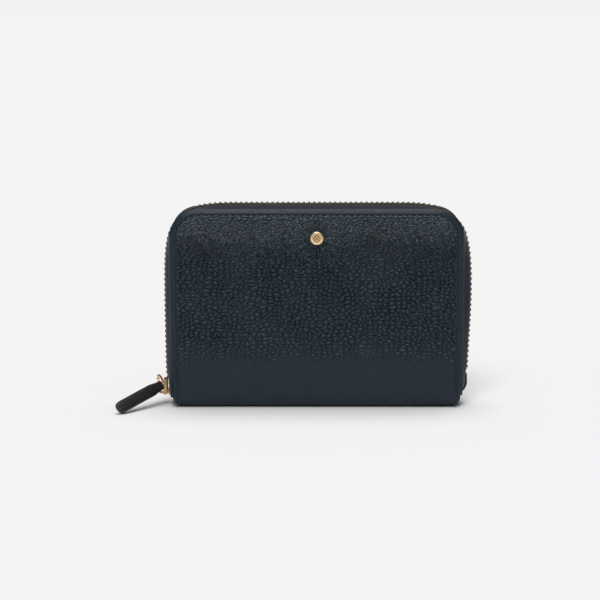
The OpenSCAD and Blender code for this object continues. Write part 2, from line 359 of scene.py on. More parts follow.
def cloth_material(name, base, light, pitch, angle, bump=0.00008):
    """Woven cloth: two crossed thread waves, with a slight colour change from thread to thread."""
    m = Nodes(name)
    at = scaled_coords(m, (1000, 1000, 1000), "UV")
    at.inputs["Rotation"].default_value = (0, 0, angle)
    warp = m("TexWave", {"wave_type": "BANDS", "bands_direction": "X"}, Vector=(at, "Vector"),
             Scale=0.314 / pitch, Distortion=0.4, Detail=1.0)
    weft = m("TexWave", {"wave_type": "BANDS", "bands_direction": "Y"}, Vector=(at, "Vector"),
             Scale=0.314 / pitch, Distortion=0.4, Detail=1.0)
    weave = m("Math", {"operation": "MULTIPLY"}, i0=(warp, "Fac"), i1=(weft, "Fac"))
    fuzz = m("TexNoise", Vector=(at, "Vector"), Scale=2.0, Detail=4.0)
    mixed = m("Math", {"operation": "MULTIPLY_ADD"}, i0=(fuzz, "Fac"), i1=0.5, i2=(weave, "Value"))
    tone = m.ramp((mixed, "Value"), (0.15, base), (1.1, light))
    height = m("Bump", Strength=0.8, Distance=bump, Height=(mixed, "Value"))
    return m.finish(Base_Color=(tone, "Color"), Roughness=0.85, Normal=(height, "Normal"),
                    Specular_IOR_Level=0.25, Sheen_Weight=0.25, Sheen_Roughness=0.4)


def metal_material(name, base, light, roughness, pressed=False):
    """Plated metal with faint polishing marks and a little tarnish, darker in a pressed pattern."""
    m = Nodes(name)
    at = scaled_coords(m, (1000, 1000, 1000))
    tarnish = m("TexNoise", Vector=(at, "Vector"), Scale=0.9, Detail=3.0)
    tone = m.ramp((tarnish, "Fac"), (0.3, base), (0.65, light))
    shade = (tone, "Color")
    if pressed:
        # Darker in the pressed grooves of the pattern.
        depth = m("Attribute", {"attribute_name": "grain"})
        groove_darkening = m.ramp((depth, "Fac"), (0.0, (0.16, 0.08, 0.04)), (0.75, (1.0, 1.0, 1.0)))
        shade = (m("Mix", {"data_type": "RGBA", "blend_type": "MULTIPLY"}, i0=1.0,
                   i6=shade, i7=(groove_darkening, "Color")), 2)
    brushed = scaled_coords(m, (2500, 9000, 2500))
    marks = m("TexNoise", Vector=(brushed, "Vector"), Scale=1.0, Detail=2.0)
    rough = m.remap((marks, "Fac"), (0.0, 1.0), (roughness - 0.08, roughness + 0.12))
    height = m("Bump", Strength=0.15, Distance=0.00002, Height=(marks, "Fac"))
    return m.finish(Base_Color=shade, Metallic=1.0, Roughness=(rough, "Result"),
                    Normal=(height, "Normal"))


def plain_material(name, base, light, scale, roughness):
    """Foam, board and thread: an uneven matt colour with a rough surface."""
    m = Nodes(name)
    at = scaled_coords(m, (1000, 1000, 1000))
    cloud = m("TexNoise", Vector=(at, "Vector"), Scale=scale, Detail=4.0)
    tone = m.ramp((cloud, "Fac"), (0.3, base), (0.7, light))
    height = m("Bump", Strength=0.5, Distance=0.00008, Height=(cloud, "Fac"))
    return m.finish(Base_Color=(tone, "Color"), Roughness=roughness, Normal=(height, "Normal"),
                    Specular_IOR_Level=0.25)


NAVY = leather_material("navy_leather", (0.0010, 0.0098, 0.0190), (0.0024, 0.0136, 0.0250), 0.44, 1.3,
                        paints_grain_light=True)
POCKET = leather_material("pocket_leather", (0.010, 0.018, 0.027), (0.014, 0.024, 0.034), 0.5, 2.3)
BLACK = leather_material("pull_leather", (0.010, 0.010, 0.012), (0.016, 0.016, 0.018), 0.42, 2.6)
TAPE = cloth_material("zip_tape_cloth", (0.008, 0.008, 0.016), (0.033, 0.031, 0.054), 0.42, math.pi / 4)
LINING = cloth_material("lining_twill", (0.010, 0.014, 0.024), (0.032, 0.040, 0.060), 0.55, 0.6)
THREAD = cloth_material("sewing_thread", (0.012, 0.018, 0.026), (0.05, 0.06, 0.075), 0.3, 0.9)
GOLD = metal_material("pale_gold", (0.78, 0.49, 0.28), (0.90, 0.62, 0.40), 0.26)
STUD_GOLD = metal_material("stud_gold", (0.93, 0.66, 0.38), (1.0, 0.76, 0.48), 0.36, pressed=True)
BRASS = metal_material("slider_brass", (0.40, 0.25, 0.11), (0.58, 0.40, 0.20), 0.3)
DARK_METAL = metal_material("dark_stop_metal", (0.035, 0.032, 0.030), (0.08, 0.075, 0.07), 0.42)
TEETH = metal_material("zip_teeth_metal", (0.07, 0.058, 0.036), (0.20, 0.165, 0.10), 0.38)
FOAM = plain_material("foam_grey", (0.08, 0.08, 0.085), (0.13, 0.13, 0.135), 3.0, 0.95)
BOARD = plain_material("grey_board", (0.30, 0.26, 0.21), (0.42, 0.37, 0.30), 1.2, 0.9)


# ---- the cover's shape ----
GRID_W, GRID_TOP, GRID_R = HALF_W - RIM, TOP - RIM, CORNER_R - RIM


def half_width(z):
    """The panel is a little narrower at its foot, where the folded spine draws it in."""
    return GRID_W - 1.1 * np.clip(1 - np.asarray(z, float) / 40, 0, 1) ** 1.5


def edge_width(s):
    """Half the cover's width at length s, with the fold's ends drawn in to rounded corners."""
    a = np.clip((s - FLAT) / FOLD_R, 0, math.pi / 2)
    return half_width(np.maximum(FOLD_R + s - FLAT - FOLD_LEN, 0)) - FOOT_TUCK * (1 - np.sin(a))


def inset(x, z):
    """Distance of a point inside the rolled edge, round the sides, top and corners."""
    w = half_width(z)
    qx = np.abs(x) - (w - GRID_R)
    qz = z - (GRID_TOP - GRID_R)
    return GRID_R - np.where((qx > 0) & (qz > 0), np.hypot(qx, qz), np.maximum(qx, qz))


def face_depth(x, z):
    """How far the padded panel stands from the middle plane, without grain or stitching."""
    d = np.maximum(inset(x, z), 0)
    flare = (DEPTH - EDGE_Y) * (1 - smooth(FOLD_R, 26, z))
    roll = SHOULDER * smooth(40, 64, z)
    rise = (CROWN - flare - roll) * (1 - np.exp(-d / 8.5)) + roll * (1 - np.exp(-d / 2.2))
    return EDGE_Y + flare + rise * smooth(FOLD_R - 2, 22, z)


def profile(x, s):
    """A point of the smooth outer face, from length s along it: spine, fold, then panel."""
    a = np.clip((s - FLAT) / FOLD_R, 0, math.pi / 2)
    z_panel = FOLD_R + s - FLAT - FOLD_LEN
    on_panel = s >= FLAT + FOLD_LEN
    z = np.where(on_panel, z_panel, FOLD_R - FOLD_R * np.cos(a))
    y = np.where(s < FLAT, -s, np.where(on_panel, -face_depth(x, np.maximum(z_panel, FOLD_R)),
                                        -FLAT - FOLD_R * np.sin(a)))
    return np.stack([x, y, z], -1)


def inward(s):
    """The direction into the leather, square to the smooth outer face at its edges."""
    a = np.clip((s - FLAT) / FOLD_R, 0, math.pi / 2)
    return np.stack([np.zeros_like(a), np.sin(a), np.cos(a)], -1)


def normals_of(points):
    """Unit normals of a grid of points, out of the cover."""
    n = np.cross(np.gradient(points, axis=1), np.gradient(points, axis=0))
    return n / np.linalg.norm(n, axis=-1, keepdims=True)


def cover_grid(fine):
    """Rows of (x, s) over one cover: the sampling is closer near the rolled edges."""
    if fine:
        close = GRID_W - 3.5
        right = np.concatenate([np.linspace(0, close, 187), np.linspace(close, GRID_W, 18)[1:]])
        counts = (40, 219, 60)
    else:
        right = np.linspace(0, GRID_W, 28)
        counts = (7, 28, 12)
    t = np.concatenate([-right[:0:-1], right]) / GRID_W
    foot = FLAT + FOLD_LEN
    straight = GRID_TOP - GRID_R - FOLD_R
    turn = np.linspace(0, math.pi / 2, counts[2] + 1)[1:]
    s = np.concatenate([np.linspace(0, foot, counts[0] + 1)[:-1],
                        np.linspace(foot, foot + straight, counts[1] + 1),
                        foot + straight + GRID_R * np.sin(turn)])
    w = edge_width(s)
    w[-counts[2]:] -= GRID_R * (1 - np.cos(turn))
    phi = np.concatenate([np.zeros(len(s) - counts[2]), turn])
    return t[None, :] * w[:, None], np.repeat(s[:, None], len(t), 1), phi


def stud_puckers(x, s, z, seed):
    """Round the stud: distance from it, how strongly it pulls there, its folds and its rays of painted
    highlight.
    """
    dx, dz = x - STUD[0], z - STUD[2]
    far = np.hypot(dx, dz)
    around = np.arctan2(dz, dx)
    lobes = np.cos(15 * around + 1.4 * np.sin(2 * around)) + 0.6 * np.cos(8 * around + 1.3)
    lobes = lobes + 0.5 * value_noise(around * 6 + 40, far / 3, seed + 6)
    below = 0.45 + 0.55 * smooth(0.7, -0.7, np.sin(around))
    reach = below * smooth(2.4, 3.6, far) * np.exp(-np.maximum(far - 3.4, 0) / 5.0)
    wander = 0.5 * value_noise(x / 2, s / 2, seed + 9)
    # Rays of painted highlight along the folds that fan out from the stud, stronger below it.
    ray = np.abs(np.sin(9 * around + 1.2 * np.sin(3 * around) + wander))
    return far, reach, 0.4 * lobes * reach, 1.2 * (1 - smooth(0.0, 0.3, ray)) * reach


def grain_relief_and_painted_light(x, s, z, d, seed, stud):
    """The leather's relief, and its painted light: 0 for painted highlight along a pebble's crease, strongest
    on its lit upper rim, 0.5 plain, 1 for painted shade in a pit.
    """
    warp_u = 0.45 * value_noise(x / 4.2, s / 4.2, seed + 1)
    warp_v = 0.45 * value_noise(x / 4.2, s / 4.2, seed + 2)
    shrink = 1 + 0.22 * smooth(52, 70, z)
    u = x * shrink / PEBBLE_W + warp_u + 40
    v = s * shrink / PEBBLE_H + warp_v + 40
    gap, own = pebbles(u, v, seed)
    small, _ = pebbles(u * 2.3 + 9, v * 2.3 + 9, seed + 5)
    pebble = 1 - (1 - np.clip(gap / 0.62, 0, 1)) ** 2.0
    fine = 1 - (1 - np.clip(small / 0.8, 0, 1)) ** 2
    inside = smooth(1.3, 2.3, d)
    amount = 0.02 + 0.80 * smooth(9, 27, z)
    amount *= 0.9 + 0.2 * value_noise(x / 9, s / 7, seed + 3)
    amount *= inside
    height = amount * ((0.85 + 0.4 * own) * pebble + 0.16 * fine - 1.0)
    height += 0.05 * value_noise(x / 6.5, s / 6.5, seed + 4) * smooth(2, 6, d)
    height -= 0.34 * bell(d - STITCH_IN, 0.42)
    height += 0.07 * bell(d, 0.5)
    fade = inside * smooth(13, 30, z)
    # Painted light: the lit upper rim of each pebble gets a painted highlight and its underside a painted
    # shade; the painted highlight grows and the painted shade weakens towards the top, where the panel tilts
    # up to the light.
    upper, _ = pebbles(u, v + 0.16, seed)
    lit = smooth(-0.05, 0.12, gap - upper)
    painted_shade = fade * (1 - lit) * (1 - smooth(0.05, 0.5, gap)) * (0.6 + 0.4 * own)
    painted_shade *= 1 - 0.5 * smooth(54, 70, z)
    painted_highlight = (1 - smooth(0.0, 0.34, gap)) * (0.2 + 0.8 * lit) * (0.45 + 0.55 * own)
    painted_highlight += (0.2 + 0.55 * smooth(56, 68, z)) * (1 - smooth(0, 0.3, small))
    painted_highlight *= fade * (1.0 + 0.6 * smooth(54, 70, z) + 0.2 * value_noise(x / 6, s / 5, seed + 8))
    if stud:
        far, reach, pucker, painted_ray_highlights = stud_puckers(x, s, z, seed)
        # Round the stud, rays of painted highlight replace the pebbles' painted highlight and painted shade.
        painted_highlight = painted_highlight * (1 - bell(far, 3.6)) + painted_ray_highlights
        painted_shade = painted_shade * (1 - bell(far, 3.6))
        height += pucker * smooth(1.5, 3.4, d)
        seat = face_depth(STUD[0], STUD[2]) - DEPTH + 0.06
        height *= 1 - bell(np.maximum(far - 2.0, 0), 0.8)
        height -= seat * bell(np.maximum(far - 2.2, 0), 2.2)
    return height, 1 - np.clip(0.5 + 0.5 * (painted_highlight - painted_shade), 0, 1)


def rolled_edge(base, out, into):
    """Rings of points round the rolled edge, from the grain side to the turned hem."""
    turn = np.linspace(0, math.pi / 2, 6)[1:]
    steps = [(RIM * math.sin(a), RIM * (1 - math.cos(a))) for a in turn]
    steps += [(RIM, HEM_DEPTH - 0.4), (RIM - 0.1, HEM_DEPTH - 0.12), (RIM - 0.4, HEM_DEPTH)]
    return [base + out * a + into * b for a, b in steps]


def edge_direction(r, c, rows, cols, phi):
    """The way out of the cover at a border point. The seam along the spine's middle isn't rolled."""
    if 0 < c < cols - 1:
        return (0, 0, 0) if r == 0 else (0, 0, 1)
    return (math.copysign(math.cos(phi[r]), c - 1), 0, math.sin(phi[r]))


def flesh_side(face, s, loop, last_ring, start):
    """The inner face: a coarser grid joined to every point of the hem, its own points numbered from start."""
    rows, cols = s.shape
    count = len(loop)
    spot = {at: i for i, at in enumerate(loop)}
    grid_r, grid_c = list(range(0, rows, INNER_ROWS)), list(range(0, cols, INNER_COLS))
    points, index = [], {}
    for r in grid_r:
        for c in grid_c:
            if (r, c) in spot:
                index[r, c] = last_ring[spot[r, c]]
            else:
                index[r, c] = start + len(points)
                points.append(face[r, c] + inward(s[r, c]) * HEM_DEPTH)

    def run(a, b):
        """The points after a and up to b: all the hem's where both lie on one side of the border."""
        on_foot_or_top = a[0] == b[0] and a[0] in (0, rows - 1)
        on_side = a[1] == b[1] and a[1] in (0, cols - 1)
        if not (on_foot_or_top or on_side):
            return [index[b]]
        i, j = spot[a], spot[b]
        way = 1 if (j - i) % count < count / 2 else -1
        found = []
        while i != j:
            i = (i + way) % count
            found.append(last_ring[i])
        return found

    faces = []
    for r0, r1 in zip(grid_r, grid_r[1:]):
        for c0, c1 in zip(grid_c, grid_c[1:]):
            corners = [(r0, c0), (r0, c1), (r1, c1), (r1, c0)]
            faces.append(tuple(sum((run(corners[k], corners[(k + 1) % 4]) for k in range(4)), [])))
    return np.array(points), faces


def cover_shell(name, side, seed, stud, nodes):
    """One cover's leather with its fold and half the spine: grained outside, rolled edge, smooth inside."""
    x, s, phi = cover_grid(fine=True)
    rows, cols = x.shape
    face = profile(x, s)
    z = face[..., 2]
    panel = s >= FLAT + FOLD_LEN
    d = np.where(panel, inset(x, z), edge_width(s) - np.abs(x))
    # tone carries the painted highlight and painted shade of the grain.
    height, tone = grain_relief_and_painted_light(x, s, z, d, seed, stud)
    height *= smooth(0, 3, s) * 0.9 + 0.1
    outer = face + normals_of(face) * height[..., None]
    loop = boundary(rows, cols)
    base = np.array([outer[at] for at in loop])
    out = np.array([edge_direction(r, c, rows, cols, phi) for r, c in loop], float)
    into = inward(np.array([s[at] for at in loop]))
    rings = rolled_edge(base, out, into)
    faces = grid_faces(rows, cols)
    ring = [r * cols + c for r, c in loop]
    start = rows * cols
    for _ in rings:
        following = list(range(start, start + len(loop)))
        start += len(loop)
        faces += [(ring[i - 1], ring[i], following[i], following[i - 1]) for i in range(len(loop))]
        ring = following
    inner, inner_faces = flesh_side(face, s, loop, ring, start)
    points = np.concatenate([outer.reshape(-1, 3)] + rings + [inner])
    uv = np.stack([points[:, 0], points[:, 2] - points[:, 1]], -1) * MM
    uv[:rows * cols] = np.stack([x.ravel(), s.ravel()], -1) * MM
    if side > 0:
        points = points * (1, -1, 1)
    obj = new_object(name, points, faces + inner_faces, NAVY, uv)
    # Painted highlight and painted shade per vertex of the grained face; 0.5, no painted light, elsewhere.
    grain = np.full(len(points), 0.5)
    grain[:rows * cols] = tone.ravel()
    set_painted_light_and_tone(obj, grain)
    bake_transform(obj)
    return place(obj, None, "outer_leather", *nodes)


# ---- flat layers inside a half ----
def outline_ring(edge_in, foot, segments=10):
    """The panel's outline, set in by edge_in, from its foot round the top corners, closed."""
    w, h, r = HALF_W - edge_in, TOP - edge_in, CORNER_R - edge_in
    turn = np.linspace(0, math.pi / 2, segments)
    left = [(-w + r - r * math.cos(a), h - r + r * math.sin(a)) for a in turn]
    right = [(w - r + r * math.sin(a), h - r + r * math.cos(a)) for a in turn]
    return np.array([(-w, foot)] + left + right + [(w, foot)])


def slab(name, ring, y_out, y_in, side, material, soften=0.1):
    """A flat layer with softened edges between two depths, from a closed outline in x and z."""
    away = ring - ring.mean(0)
    away /= np.linalg.norm(away, axis=1, keepdims=True)
    steps = [(soften, 0.0), (0.25 * soften, 0.3 * soften), (0, soften)]
    levels = [(a, y_out + b) for a, b in steps] + [(a, y_in - b) for a, b in reversed(steps)]
    verts = []
    for back, y in levels:
        for (px, pz), (ax, az) in zip(ring, away):
            verts.append((px - ax * back, y, pz - az * back))
    faces = tube_faces(len(levels), len(ring))
    points = np.array(verts) * (1, -side, 1)
    return new_object(name, points, faces, material, uv=points[:, [0, 2]] * MM, shade_smooth=False)


def two_sided(name, front, back, side, material, uv=None):
    """A closed sheet between two grids of points, mirrored for the back half."""
    verts = np.concatenate([front.reshape(-1, 3), back.reshape(-1, 3)]) * (1, -side, 1)
    return new_object(name, verts, sheet_faces(*front.shape[:2]), material, uv)


def pocket_leaf(name, node, side, body, material, slot):
    """A pocket leaf with a turned and creased mouth: the relief is in the mesh."""
    lo, hi = box_mm(node)
    w, top = hi[0], hi[2]
    y_face, y_back = sorted((abs(lo[1]), abs(hi[1])))      # the first is towards the middle of the case
    fine, edge = 3, 2                                      # closer samples this near the mouth and the sides
    z_list = np.concatenate([np.linspace(lo[2], top - fine, 14), np.linspace(top - fine, top, 16)[1:]])
    x_list = np.concatenate([np.linspace(-w, -w + edge, 7), np.linspace(-w + edge, w - edge, 60)[1:-1],
                             np.linspace(w - edge, w, 7)])
    x, z = np.meshgrid(x_list, z_list)
    d_top, d_side = top - z, w - np.abs(x)
    relief = 0.06 * smooth(2.3, 1.5, d_top) - 0.09 * bell(d_top - 2.0, 0.22)
    relief -= 0.07 * bell(d_side - 1.1, 0.25)
    relief -= 0.16 * (bell(d_top, 0.22) + bell(d_side, 0.25))
    relief += 0.02 * value_noise(x / 6, z / 6, 31)
    front = np.stack([x, relief - y_face, z], -1)
    back = np.stack([x, np.full_like(x, 0.02 - y_back), z], -1)
    uv = np.tile(front[..., [0, 2]].reshape(-1, 2), (2, 1)) * MM
    return place(two_sided(name, front, back, side, material, uv), body, slot, node)


def lining_rows(half, top, radius):
    """The lining's course as (depth, height, half width): spine, slack over the fold, panel, round top."""
    spine_z = box_mm("spine_lining")[0][2]
    start, reach = FLAT - 0.4, -LINING_Y - FLAT + 0.4
    rows = [(y, spine_z, half - 3) for y in np.linspace(0, start, 4)]
    for t in np.linspace(0, 1, 10)[1:-1]:
        slack = 0.22 * math.sin(math.pi * t)
        rows.append((start + reach * t ** 0.7 - slack, spine_z + (LINING_FOOT - spine_z) * t ** 1.3,
                     half - 3 + 3 * t))
    rows += [(-LINING_Y, z, half) for z in np.linspace(LINING_FOOT, top - radius, 20)]
    rows += [(-LINING_Y, top - radius + radius * math.sin(a), half - radius * (1 - math.cos(a)))
             for a in np.linspace(0, math.pi / 2, 10)[1:]]
    return rows


def lining_sheet(name, side, nodes):
    """The cloth lining: half the spine, slack over the fold, then up the half to its rounded top."""
    w = HALF_W - LINING_IN
    rows = lining_rows(w, TOP - LINING_IN, CORNER_R - LINING_IN)
    spine_z = rows[0][1]
    t = np.linspace(-1, 1, 41)
    outer, inner = [], []
    for i, (y, z, half) in enumerate(rows):
        wave = 0.06 * np.sin(t * 21 + i * 1.3) * (1 if 3 < i < 12 else 0)
        bend = 1 - smooth(spine_z, LINING_FOOT, z)
        outer.append(np.stack([t * half, np.full_like(t, -y), z + wave], -1))
        inner.append(outer[-1] + (0, LINING_T * (1 - bend), LINING_T * bend))
    length = lengths_along([(y, z) for y, z, _ in rows])
    across = np.array(outer)[..., 0].ravel()
    uv = np.stack([np.tile(across, 2), np.tile(np.repeat(length, len(t)), 2)], -1) * MM
    obj = two_sided(name, np.array(outer), np.array(inner), side, LINING, uv)
    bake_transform(obj)
    place(obj, None, "lining_cloth", *nodes)
    return obj


def foam_pad(name, side, body, node):
    """Crowned foam between the flat board and the leather."""
    x, s, _ = cover_grid(fine=False)
    keep = s[:, 0] >= FLAT + FOLD_LEN
    x, s = x[keep] * (1 - FOAM_IN / GRID_W), s[keep]
    face = profile(x, s)
    z = np.clip(face[..., 2], FOLD_R + 0.9, GRID_TOP - 2.2)
    flat = -BOARD_OUT - 0.02
    crown = np.minimum(face[..., 1] + HEM_DEPTH + 0.03, flat - 0.03)
    front = np.stack([x, crown, z], -1)
    back = np.stack([x, np.full_like(x, flat), z], -1)
    obj = two_sided(name, front, back, side, FOAM)
    place(obj, body, "foam", node)
    return obj


# ---- the zip ----
def side_bow(z, side):
    """How far the zip stands out from the cover's side: nearly straight on the slider's side, the left."""
    bow = (LEFT_BOW if side < 0 else RIGHT_BOW) * bell(z - 44, 24) - 0.5 * (1 - smooth(6, 16, z))
    tuck = 3.0 * (1 - smooth(TAPE_FOOT, 5.5 if side < 0 else 8.0, z))
    return TAPE_N + bow - tuck


def corner_dip(away):
    """How far the zip cuts the corner, by its distance from the corner's middle along the outline."""
    return 2.5 * bell(away, 9.5)


def chain_path(left_foot, right_foot, pitch=0.5):
    """Stations round the zip: outline point (x, z), outward direction, and how far out the zip lies there."""
    side_x, top_z = HALF_W - CORNER_R, TOP - CORNER_R
    turn = np.linspace(0, math.pi / 2, 36)[1:-1]
    half_arc = CORNER_R * math.pi / 4

    def one_side(side, foot):
        side_off = float(side_bow(top_z, side))
        rows = [(side * HALF_W, z, side, 0, side_bow(z, side) - corner_dip(half_arc + top_z - z))
                for z in np.linspace(foot, top_z, int((top_z - foot) / pitch))]
        for a in turn:
            off = side_off + (TAPE_N - side_off) * smooth(0, math.pi / 2, a)
            rows.append((side * (side_x + CORNER_R * math.cos(a)), top_z + CORNER_R * math.sin(a),
                         side * math.cos(a), math.sin(a), off - corner_dip(CORNER_R * a - half_arc)))
        return rows

    top = [(x, TOP, 0, 1, TAPE_N - corner_dip(half_arc + side_x - abs(x)))
           for x in np.linspace(-side_x, side_x, int(2 * side_x / pitch))]
    return np.array(one_side(-1, left_foot) + top + one_side(1, right_foot)[::-1], float)


def tape_gap(x, z, nz):
    """How much the tape's edge draws back from the middle plane beside the end tab and the slider."""
    if nz == 0 and x < 0 and z < 7:
        return 0.1
    if nz == 0 and x > 0 and z < CHAIN_END:
        return 1.9 * float(smooth(CHAIN_END, CHAIN_END - 2, z))
    return 0.0


def zip_tape(name, side, body, node):
    """The woven tape: glued in under the hem, curving out and up to its beaded edge at the teeth."""
    path = chain_path(TAPE_FOOT + 1.0, TAPE_FOOT + 1.9)
    along = lengths_along(path[:, :2] + path[:, 2:4] * path[:, 4:5])
    depths = np.concatenate([np.linspace(6.35, 3.6, 9), np.linspace(3.2, 1.1, 5)])
    section = [(-4.0, 6.5, 0.0), (-1.2, 6.5, 0.0)]
    section += [(0.0, y, float(smooth(6.5, 3.7, y))) for y in depths]
    section += [(0.08, 0.95, 1.0), (0.0, 0.78, 1.0)]
    width = lengths_along([(a + c, y) for a, y, c in section])
    verts, uv = [], []
    for run, (x, z, nx, nz, off) in zip(along, path):
        least = section[-1][1] + tape_gap(x, z, nz)
        ripple = 0.05 * math.sin(run * 2 * math.pi / TOOTH_PITCH)
        outside = [(a + c * (off + TAPE_T / 2) + ripple * c, max(y, least), u)
                   for (a, y, c), u in zip(section, width)]
        inside = [(a, y - TAPE_T, u) if y >= TAPE_GLUED else (a - TAPE_T, y, u)
                  for a, y, u in reversed(outside)]
        for a, y, u in outside + inside:
            verts.append((x + nx * a, -y, z + nz * a))
            uv.append((run * MM, u * MM))
    points = np.array(verts) * (1, -side, 1)
    obj = new_object(name, points, tube_faces(len(path), 2 * len(section)), TAPE, uv)
    return place(obj, body, "zip_cloth", node)


def tooth_mesh():
    """One tooth: a crimped body, a waist and a rounded head. Local x out, y to the far side, z along."""
    bm = bmesh.new()
    bmesh.ops.create_cube(bm, size=1)
    for v in bm.verts:
        far = v.co.y > 0
        v.co.x *= TOOTH_T * (0.78 if far else 1.0)
        v.co.y = TOOTH_HEAD if far else TOOTH_ROOT
        v.co.z *= 2 * TOOTH_HALF
    lengthwise = [e for e in bm.edges if abs(e.verts[0].co.y - e.verts[1].co.y) > 1]
    bmesh.ops.subdivide_edges(bm, edges=lengthwise, cuts=4)
    for v in bm.verts:
        t = (v.co.y - TOOTH_ROOT) / (TOOTH_HEAD - TOOTH_ROOT)
        v.co.z *= 1 - 0.24 * math.exp(-((t - 0.62) / 0.16) ** 2)
        v.co.x *= 1 - 0.12 * math.exp(-((t - 0.62) / 0.2) ** 2)
    bmesh.ops.bevel(bm, geom=list(bm.edges), offset=0.1, segments=2, profile=0.6, affect="EDGES")
    bm.verts.index_update()
    verts = np.array([v.co[:] for v in bm.verts])
    faces = [tuple(v.index for v in f.verts) for f in bm.faces]
    bm.free()
    return verts, faces


def strew(template, frames):
    """Copies a template into one mesh. A frame is an origin and three axes."""
    base, shape = template
    verts, faces = [], []
    for origin, axes in frames:
        start = len(verts) * len(base)
        verts.append(base @ np.array(axes) + np.array(origin))
        faces += [tuple(i + start for i in f) for f in shape]
    return np.concatenate(verts), faces


def chain_frames(side):
    """Where each tooth of one tape sits, with the part of the run it belongs to."""
    path = chain_path(CHAIN_FOOT, CHAIN_END, 0.25)
    centre = path[:, :2] + path[:, 2:4] * path[:, 4:5]
    along = lengths_along(centre)
    count = int(along[-1] / TOOTH_PITCH)
    shift = 0.25 if side < 0 else 0.75      # the two tapes' teeth lie between each other
    frames = []
    for i in range(count):
        at = (i + shift) * along[-1] / count
        x, z = (np.interp(at, along, centre[:, k]) for k in (0, 1))
        nx, nz = unit(*(np.interp(at, along, path[:, k]) for k in (2, 3)))
        run = "top" if z > TOP - CORNER_R else ("left" if x < 0 else "right")
        frames.append((run, ((x, 0, z), ((nx, 0, nz), (0, -side, 0), (nz, 0, -nx)))))
    return frames


def zip_teeth(side, body, label):
    template = tooth_mesh()
    frames = chain_frames(side)
    for run in ("left", "top", "right"):
        verts, faces = strew(template, [f for r, f in frames if r == run])
        obj = new_object(f"{label}_teeth_{run}_metal", verts, faces, TEETH)
        place(obj, body, "zip_metal", f"{label}_teeth_{run}")


def cad_copy(name, node, material, bevel, body, slot, change=None):
    """A piece with the CAD node's own shape and softened edges."""
    source = frame["nodes"][node]
    mesh = source.data.copy()
    mesh.name = name
    obj = bpy.data.objects.new(name, mesh)
    bpy.context.scene.collection.objects.link(obj)
    bm = bmesh.new()
    bm.from_mesh(mesh)
    bmesh.ops.remove_doubles(bm, verts=bm.verts, dist=1e-6)
    bmesh.ops.dissolve_limit(bm, angle_limit=math.radians(2), verts=bm.verts, edges=bm.edges)
    if change:
        for v in bm.verts:
            v.co = Vector(change(np.array(v.co) / MM)) * MM
    bm.to_mesh(mesh)
    bm.free()
    mesh.materials.clear()
    mesh.materials.append(material)
    rounded(obj, bevel)
    return place(obj, body, slot, node)


def slider_taper(p):
    """The slider is widest at its mouth, which faces down, and its plates stand clear of the bowed teeth."""
    plate, out, into = 0.7, 0.3, 0.5
    shorten, narrow = 0.84, 0.05
    x, y, z = p
    if x < SLIDER_LO[0] + plate:
        x -= out
    elif x > SLIDER_HI[0] - plate:
        x += into
    up = z - SLIDER_LO[2]
    tail = float(smooth(0.35, 1.0, up / (SLIDER_HI[2] - SLIDER_LO[2])))
    return x, y * (1 - narrow * tail), SLIDER_LO[2] + shorten * up


def stop_on_tape(p):
    """The top stops sit where the tape's foot tucks in: further in and a little higher than in the CAD."""
    into, up = 1.1, 1.0
    return p[0] + into, p[1], p[2] + up


def pull_ring_wire():
    """The ring: round wire with a faint seam where its ends meet."""
    lo, hi = box_mm("pull_ring")
    centre = (lo + hi) / 2
    across = np.array(joint("ring_swings")["axis"], float)
    up = centre - np.array(joint("ring_swings")["pos_m"]) / MM
    radius = np.linalg.norm(up)
    up = up / radius
    out = np.cross(across, up)
    rings, sides, seam_at = 96, 20, 1.9
    verts = []
    for i in range(rings):
        t = 2 * math.pi * i / rings
        wire = WIRE_R * (1 - 0.12 * math.exp(-((t - seam_at) / 0.035) ** 2))
        radial = math.cos(t) * across + math.sin(t) * up
        for k in range(sides):
            a = 2 * math.pi * k / sides
            verts.append(centre + radial * (radius + wire * math.cos(a)) + out * wire * math.sin(a))
    faces = []
    for i in range(rings):
        for k in range(sides):
            j, m = (i + 1) % rings, (k + 1) % sides
            faces.append((i * sides + k, i * sides + m, j * sides + m, j * sides + k))
    return place(new_object("pull_ring_wire", verts, faces, GOLD), "pull_ring", "gold_metal", "pull_ring")


def tab_section(x, sides):
    """The pull's section at x along it: a boxy ring, plump over the ring's wire, creased near its edges."""
    loop, tip = 1.26, TAB_LEN - TAB_W / 2
    near = math.sqrt(max(0.0, 1 - min(1, x / -loop) ** 2)) if x < 0 else 1.0
    far = math.sqrt(max(0.0, 1 - ((x - tip) / (TAB_W / 2 + 0.01)) ** 2)) if x > tip else 1.0
    neck = 1.75
    half_w = (neck + (TAB_W / 2 - neck) * float(smooth(0.5, 5.5, x))) * far * (0.55 + 0.45 * near)
    half_t = (TAB_T / 2 + 0.42 * float(bell(x, 2.1))) * (0.25 + 0.75 * far) * max(near, 0.08)
    half_t -= 0.12 * float(bell(x - 3.1, 0.35))
    arch = 0.35 * math.sin(math.pi * min(max(x, 0), TAB_LEN) / TAB_LEN)
    row = []
    for k in range(sides):
        a = 2 * math.pi * k / sides
        ca, sa = math.cos(a), math.sin(a)
        y, z = half_w * bulge(ca, 0.45), half_t * bulge(sa, 0.45)
        if abs(sa) > 0.3 and 4 < x < 24:
            z -= math.copysign(0.09 * float(bell(half_w - abs(y) - 0.62, 0.17)), z)
        if abs(ca) > 0.6 and x > 3.2:
            y -= math.copysign(0.07 * float(bell(z, 0.1)), y)
        row.append((x, y, z + arch))
    return row


